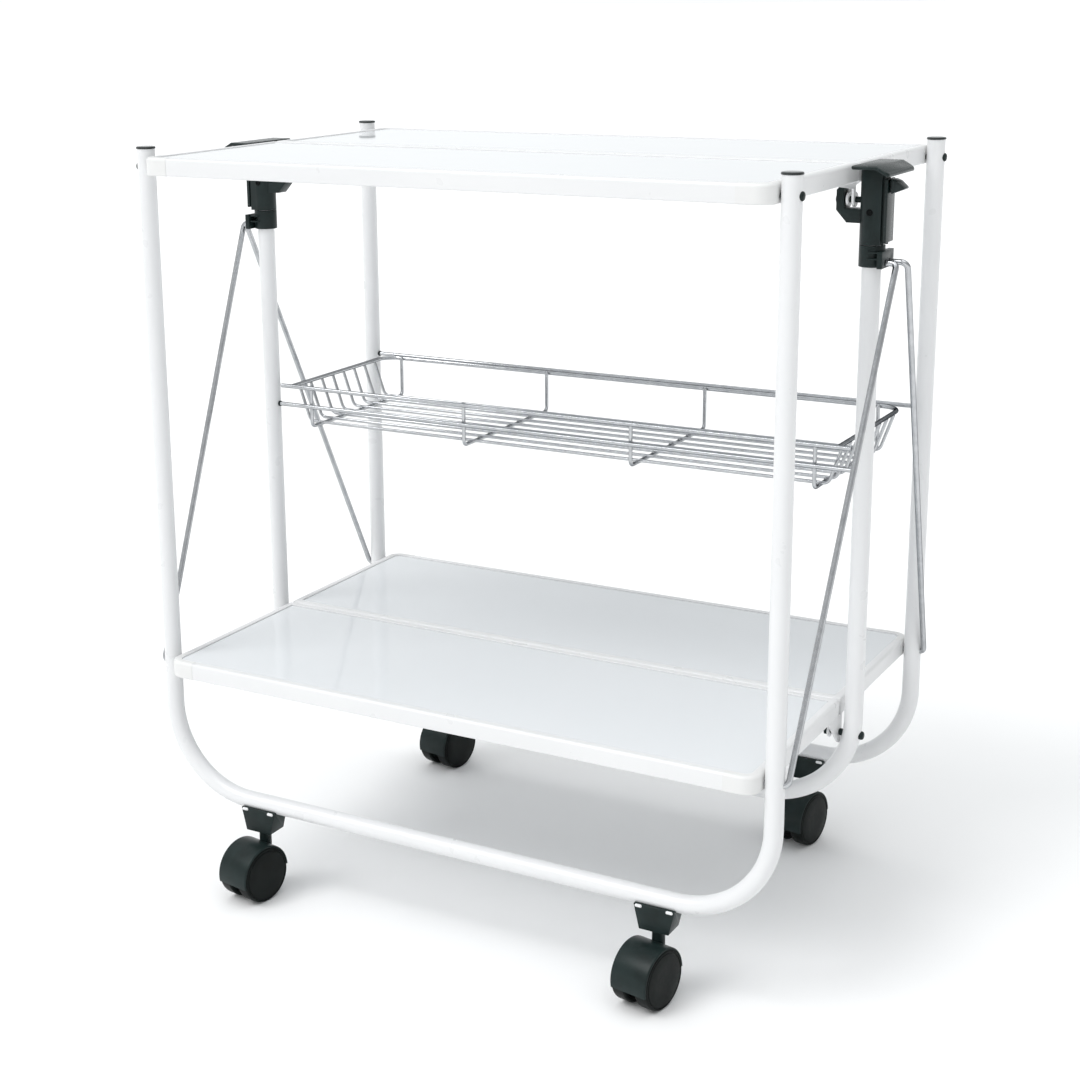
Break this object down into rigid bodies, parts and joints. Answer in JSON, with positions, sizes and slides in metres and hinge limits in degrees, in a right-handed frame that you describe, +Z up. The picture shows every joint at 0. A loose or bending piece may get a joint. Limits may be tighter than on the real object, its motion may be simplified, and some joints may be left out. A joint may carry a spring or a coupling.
{
  "type": "folding rolling trolley",
  "caption": "Folding trolley with a top shelf, a wire basket, a lower shelf, end handles with latches, stay rods and swivelling twin-wheel casters.",
  "frame": {"origin": "on the floor, at the middle of the whole trolley as seen from above", "axes": "+X along the long side towards the right end, +Y across it towards the rear frame and the basket, +Z up"},
  "size_m": [0.669, 0.4207, 0.6891],
  "materials": {
    "front_frame_tube": "white gloss powder coat",
    "front_post_caps": "black, fine grain",
    "front_pivot_screws": "black head",
    "front_socket_lugs": "white gloss powder coat",
    "caster_socket_front_left": "black, fine grain",
    "caster_socket_front_right": "black, fine grain",
    "rear_frame_tube": "white gloss powder coat",
    "rear_post_caps": "black, fine grain",
    "rear_pivot_screws": "black head",
    "rear_socket_lugs": "white gloss powder coat",
    "caster_socket_rear_left": "black, fine grain",
    "caster_socket_rear_right": "black, fine grain",
    "centre_frame_tube": "white gloss powder coat",
    "centre_pivot_screws": "black head",
    "left_handle_housing": "black, fine grain",
    "right_handle_housing": "black, fine grain",
    "left_grip": "black, fine grain",
    "right_grip": "black, fine grain",
    "left_latch_spring": "plain steel",
    "right_latch_spring": "plain steel",
    "left_latch": "black, fine grain",
    "left_slider": "black, fine grain",
    "right_latch": "black, fine grain",
    "right_slider": "black, fine grain",
    "stay_rod_front_left": "bright plated",
    "stay_rod_front_right": "bright plated",
    "stay_rod_rear_left": "bright plated",
    "stay_rod_rear_right": "bright plated",
    "top_front_rim": "white gloss",
    "top_front_panel": "pale blue-grey, glossy",
    "top_front_brackets": "white gloss powder coat",
    "top_rear_rim": "white gloss",
    "top_rear_panel": "pale blue-grey, glossy",
    "top_rear_brackets": "white gloss powder coat",
    "lower_front_rim": "white gloss",
    "lower_front_panel": "pale blue-grey, glossy",
    "lower_front_brackets": "white gloss powder coat",
    "lower_rear_rim": "white gloss",
    "lower_rear_panel": "pale blue-grey, glossy",
    "lower_rear_brackets": "white gloss powder coat",
    "basket_rim": "bright plated wire",
    "basket_bottom_wires": "bright plated wire",
    "basket_cross_wires": "bright plated wire",
    "basket_end_bushes": "black, fine grain",
    "caster_hood_front_left": "black, fine grain",
    "caster_stem_front_left": "plain steel",
    "caster_axle_front_left": "plain steel",
    "caster_wheels_front_left": "black, satin",
    "caster_hood_front_right": "black, fine grain",
    "caster_stem_front_right": "plain steel",
    "caster_axle_front_right": "plain steel",
    "caster_wheels_front_right": "black, satin",
    "caster_hood_rear_left": "black, fine grain",
    "caster_stem_rear_left": "plain steel",
    "caster_axle_rear_left": "plain steel",
    "caster_wheels_rear_left": "black, satin",
    "caster_hood_rear_right": "black, fine grain",
    "caster_stem_rear_right": "plain steel",
    "caster_axle_rear_right": "plain steel",
    "caster_wheels_rear_right": "black, satin"
  },
  "bodies": {
    "front_frame": {"front_frame_tube": "front_frame_tube", "front_post_caps": "front_post_caps", "front_pivot_screws": "front_pivot_screws", "front_socket_lugs": "front_socket_lugs", "caster_socket_front_left": "caster_socket_front_left", "caster_socket_front_right": "caster_socket_front_right"},
    "rear_frame": {"rear_frame_tube": "rear_frame_tube", "rear_post_caps": "rear_post_caps", "rear_pivot_screws": "rear_pivot_screws", "rear_socket_lugs": "rear_socket_lugs", "caster_socket_rear_left": "caster_socket_rear_left", "caster_socket_rear_right": "caster_socket_rear_right"},
    "centre_frame": {"centre_frame_tube": "centre_frame_tube", "centre_pivot_screws": "centre_pivot_screws", "left_handle_housing": "left_handle_housing", "right_handle_housing": "right_handle_housing", "left_grip": "left_grip", "right_grip": "right_grip", "left_latch_spring": "left_latch_spring", "right_latch_spring": "right_latch_spring"},
    "left_latch": {"left_latch": "left_latch"},
    "left_slider": {"left_slider": "left_slider"},
    "right_latch": {"right_latch": "right_latch"},
    "right_slider": {"right_slider": "right_slider"},
    "stay_rod_front_left": {"stay_rod_front_left": "stay_rod_front_left"},
    "stay_rod_front_right": {"stay_rod_front_right": "stay_rod_front_right"},
    "stay_rod_rear_left": {"stay_rod_rear_left": "stay_rod_rear_left"},
    "stay_rod_rear_right": {"stay_rod_rear_right": "stay_rod_rear_right"},
    "top_front_shelf": {"top_front_rim": "top_front_rim", "top_front_panel": "top_front_panel", "top_front_brackets": "top_front_brackets"},
    "top_rear_shelf": {"top_rear_rim": "top_rear_rim", "top_rear_panel": "top_rear_panel", "top_rear_brackets": "top_rear_brackets"},
    "lower_front_shelf": {"lower_front_rim": "lower_front_rim", "lower_front_panel": "lower_front_panel", "lower_front_brackets": "lower_front_brackets"},
    "lower_rear_shelf": {"lower_rear_rim": "lower_rear_rim", "lower_rear_panel": "lower_rear_panel", "lower_rear_brackets": "lower_rear_brackets"},
    "basket": {"basket_rim": "basket_rim", "basket_bottom_wires": "basket_bottom_wires", "basket_cross_wires": "basket_cross_wires", "basket_end_bushes": "basket_end_bushes"},
    "caster_front_left": {"caster_hood_front_left": "caster_hood_front_left", "caster_stem_front_left": "caster_stem_front_left", "caster_axle_front_left": "caster_axle_front_left"},
    "wheels_front_left": {"caster_wheels_front_left": "caster_wheels_front_left"},
    "caster_front_right": {"caster_hood_front_right": "caster_hood_front_right", "caster_stem_front_right": "caster_stem_front_right", "caster_axle_front_right": "caster_axle_front_right"},
    "wheels_front_right": {"caster_wheels_front_right": "caster_wheels_front_right"},
    "caster_rear_left": {"caster_hood_rear_left": "caster_hood_rear_left", "caster_stem_rear_left": "caster_stem_rear_left", "caster_axle_rear_left": "caster_axle_rear_left"},
    "wheels_rear_left": {"caster_wheels_rear_left": "caster_wheels_rear_left"},
    "caster_rear_right": {"caster_hood_rear_right": "caster_hood_rear_right", "caster_stem_rear_right": "caster_stem_rear_right", "caster_axle_rear_right": "caster_axle_rear_right"},
    "wheels_rear_right": {"caster_wheels_rear_right": "caster_wheels_rear_right"}
  },
  "joints": [
    {"name": "fold", "type": "hinge", "parent": "front_frame", "child": "top_front_shelf", "pos_m": [0, -0.1625, 0.6715], "axis": [1, 0, 0], "range_deg": [0, 80]},
    {"name": "centre_frame_pivot", "type": "hinge", "parent": "top_front_shelf", "child": "centre_frame", "pos_m": [0, 0.0145, 0.651], "axis": [1, 0, 0], "range_deg": [-80.1, 0.1]},
    {"name": "top_rear_shelf_pivot", "type": "hinge", "parent": "centre_frame", "child": "top_rear_shelf", "pos_m": [0, 0.0145, 0.651], "axis": [1, 0, 0], "range_deg": [-80.1, 0.1]},
    {"name": "rear_frame_pivot", "type": "hinge", "parent": "top_rear_shelf", "child": "rear_frame", "pos_m": [0, 0.1915, 0.6715], "axis": [1, 0, 0], "range_deg": [-0.1, 80.1]},
    {"name": "lower_front_shelf_pivot", "type": "hinge", "parent": "front_frame", "child": "lower_front_shelf", "pos_m": [0, -0.1625, 0.21], "axis": [1, 0, 0], "range_deg": [-0.1, 80.1]},
    {"name": "lower_rear_shelf_pivot", "type": "hinge", "parent": "centre_frame", "child": "lower_rear_shelf", "pos_m": [0, 0.0145, 0.1895], "axis": [1, 0, 0], "range_deg": [-80.1, 0.1]},
    {"name": "basket_pivot", "type": "hinge", "parent": "centre_frame", "child": "basket", "pos_m": [0, 0.0145, 0.4245], "axis": [1, 0, 0], "range_deg": [-80.1, 0.1]},
    {"name": "left_slider_slide", "type": "slide", "parent": "centre_frame", "child": "left_slider", "axis": [0, 0, -1], "range_m": [-0.0005, 0.1581]},
    {"name": "right_slider_slide", "type": "slide", "parent": "centre_frame", "child": "right_slider", "axis": [0, 0, -1], "range_m": [-0.0005, 0.1581]},
    {"name": "stay_rod_front_left_pivot", "type": "hinge", "parent": "front_frame", "child": "stay_rod_front_left", "pos_m": [-0.311, -0.1625, 0.21], "axis": [1, 0, 0], "range_deg": [-0.1, 17.65]},
    {"name": "stay_rod_front_right_pivot", "type": "hinge", "parent": "front_frame", "child": "stay_rod_front_right", "pos_m": [0.311, -0.1625, 0.21], "axis": [1, 0, 0], "range_deg": [-0.1, 17.65]},
    {"name": "stay_rod_rear_left_pivot", "type": "hinge", "parent": "rear_frame", "child": "stay_rod_rear_left", "pos_m": [-0.311, 0.1915, 0.21], "axis": [1, 0, 0], "range_deg": [-17.65, 0.1]},
    {"name": "stay_rod_rear_right_pivot", "type": "hinge", "parent": "rear_frame", "child": "stay_rod_rear_right", "pos_m": [0.311, 0.1915, 0.21], "axis": [1, 0, 0], "range_deg": [-17.65, 0.1]},
    {"name": "left_latch_slide", "type": "slide", "parent": "centre_frame", "child": "left_latch", "axis": [0, 0, 1], "range_m": [0, 0.004], "stiffness_N_per_m": 400, "springref_m": -0.003, "deforming": ["left_latch_spring"]},
    {"name": "right_latch_slide", "type": "slide", "parent": "centre_frame", "child": "right_latch", "axis": [0, 0, 1], "range_m": [0, 0.004], "stiffness_N_per_m": 400, "springref_m": -0.003, "deforming": ["right_latch_spring"]},
    {"name": "caster_front_left_swivel", "type": "hinge", "parent": "front_frame", "child": "caster_front_left", "pos_m": [-0.2015, -0.1625, 0.056], "axis": [0, 0, 1], "continuous": true},
    {"name": "wheels_front_left_spin", "type": "hinge", "parent": "caster_front_left", "child": "wheels_front_left", "pos_m": [-0.20445, -0.17924, 0.026], "axis": [0.9848, -0.1736, 0], "continuous": true},
    {"name": "caster_front_right_swivel", "type": "hinge", "parent": "front_frame", "child": "caster_front_right", "pos_m": [0.2015, -0.1625, 0.056], "axis": [0, 0, 1], "continuous": true},
    {"name": "wheels_front_right_spin", "type": "hinge", "parent": "caster_front_right", "child": "wheels_front_right", "pos_m": [0.19855, -0.17924, 0.026], "axis": [0.9848, -0.1736, 0], "continuous": true},
    {"name": "caster_rear_left_swivel", "type": "hinge", "parent": "rear_frame", "child": "caster_rear_left", "pos_m": [-0.2015, 0.1915, 0.056], "axis": [0, 0, 1], "continuous": true},
    {"name": "wheels_rear_left_spin", "type": "hinge", "parent": "caster_rear_left", "child": "wheels_rear_left", "pos_m": [-0.20445, 0.17476, 0.026], "axis": [0.9848, -0.1736, 0], "continuous": true},
    {"name": "caster_rear_right_swivel", "type": "hinge", "parent": "rear_frame", "child": "caster_rear_right", "pos_m": [0.2015, 0.1915, 0.056], "axis": [0, 0, 1], "continuous": true},
    {"name": "wheels_rear_right_spin", "type": "hinge", "parent": "caster_rear_right", "child": "wheels_rear_right", "pos_m": [0.19855, 0.17476, 0.026], "axis": [0.9848, -0.1736, 0], "continuous": true}
  ],
  "couplings": [
    {"joint": "centre_frame_pivot", "follows": "fold", "ratio": -1},
    {"joint": "top_rear_shelf_pivot", "follows": "fold", "ratio": -1},
    {"joint": "rear_frame_pivot", "follows": "fold", "ratio": 1},
    {"joint": "lower_front_shelf_pivot", "follows": "fold", "ratio": 1},
    {"joint": "lower_rear_shelf_pivot", "follows": "fold", "ratio": -1},
    {"joint": "basket_pivot", "follows": "fold", "ratio": -1},
    {"joint": "left_slider_slide", "follows": "fold", "m_per_rad": 0.11288},
    {"joint": "right_slider_slide", "follows": "fold", "m_per_rad": 0.11288},
    {"joint": "stay_rod_front_left_pivot", "follows": "fold", "ratio": 0.2194},
    {"joint": "stay_rod_front_right_pivot", "follows": "fold", "ratio": 0.2194},
    {"joint": "stay_rod_rear_left_pivot", "follows": "fold", "ratio": -0.2194},
    {"joint": "stay_rod_rear_right_pivot", "follows": "fold", "ratio": -0.2194}
  ]
}
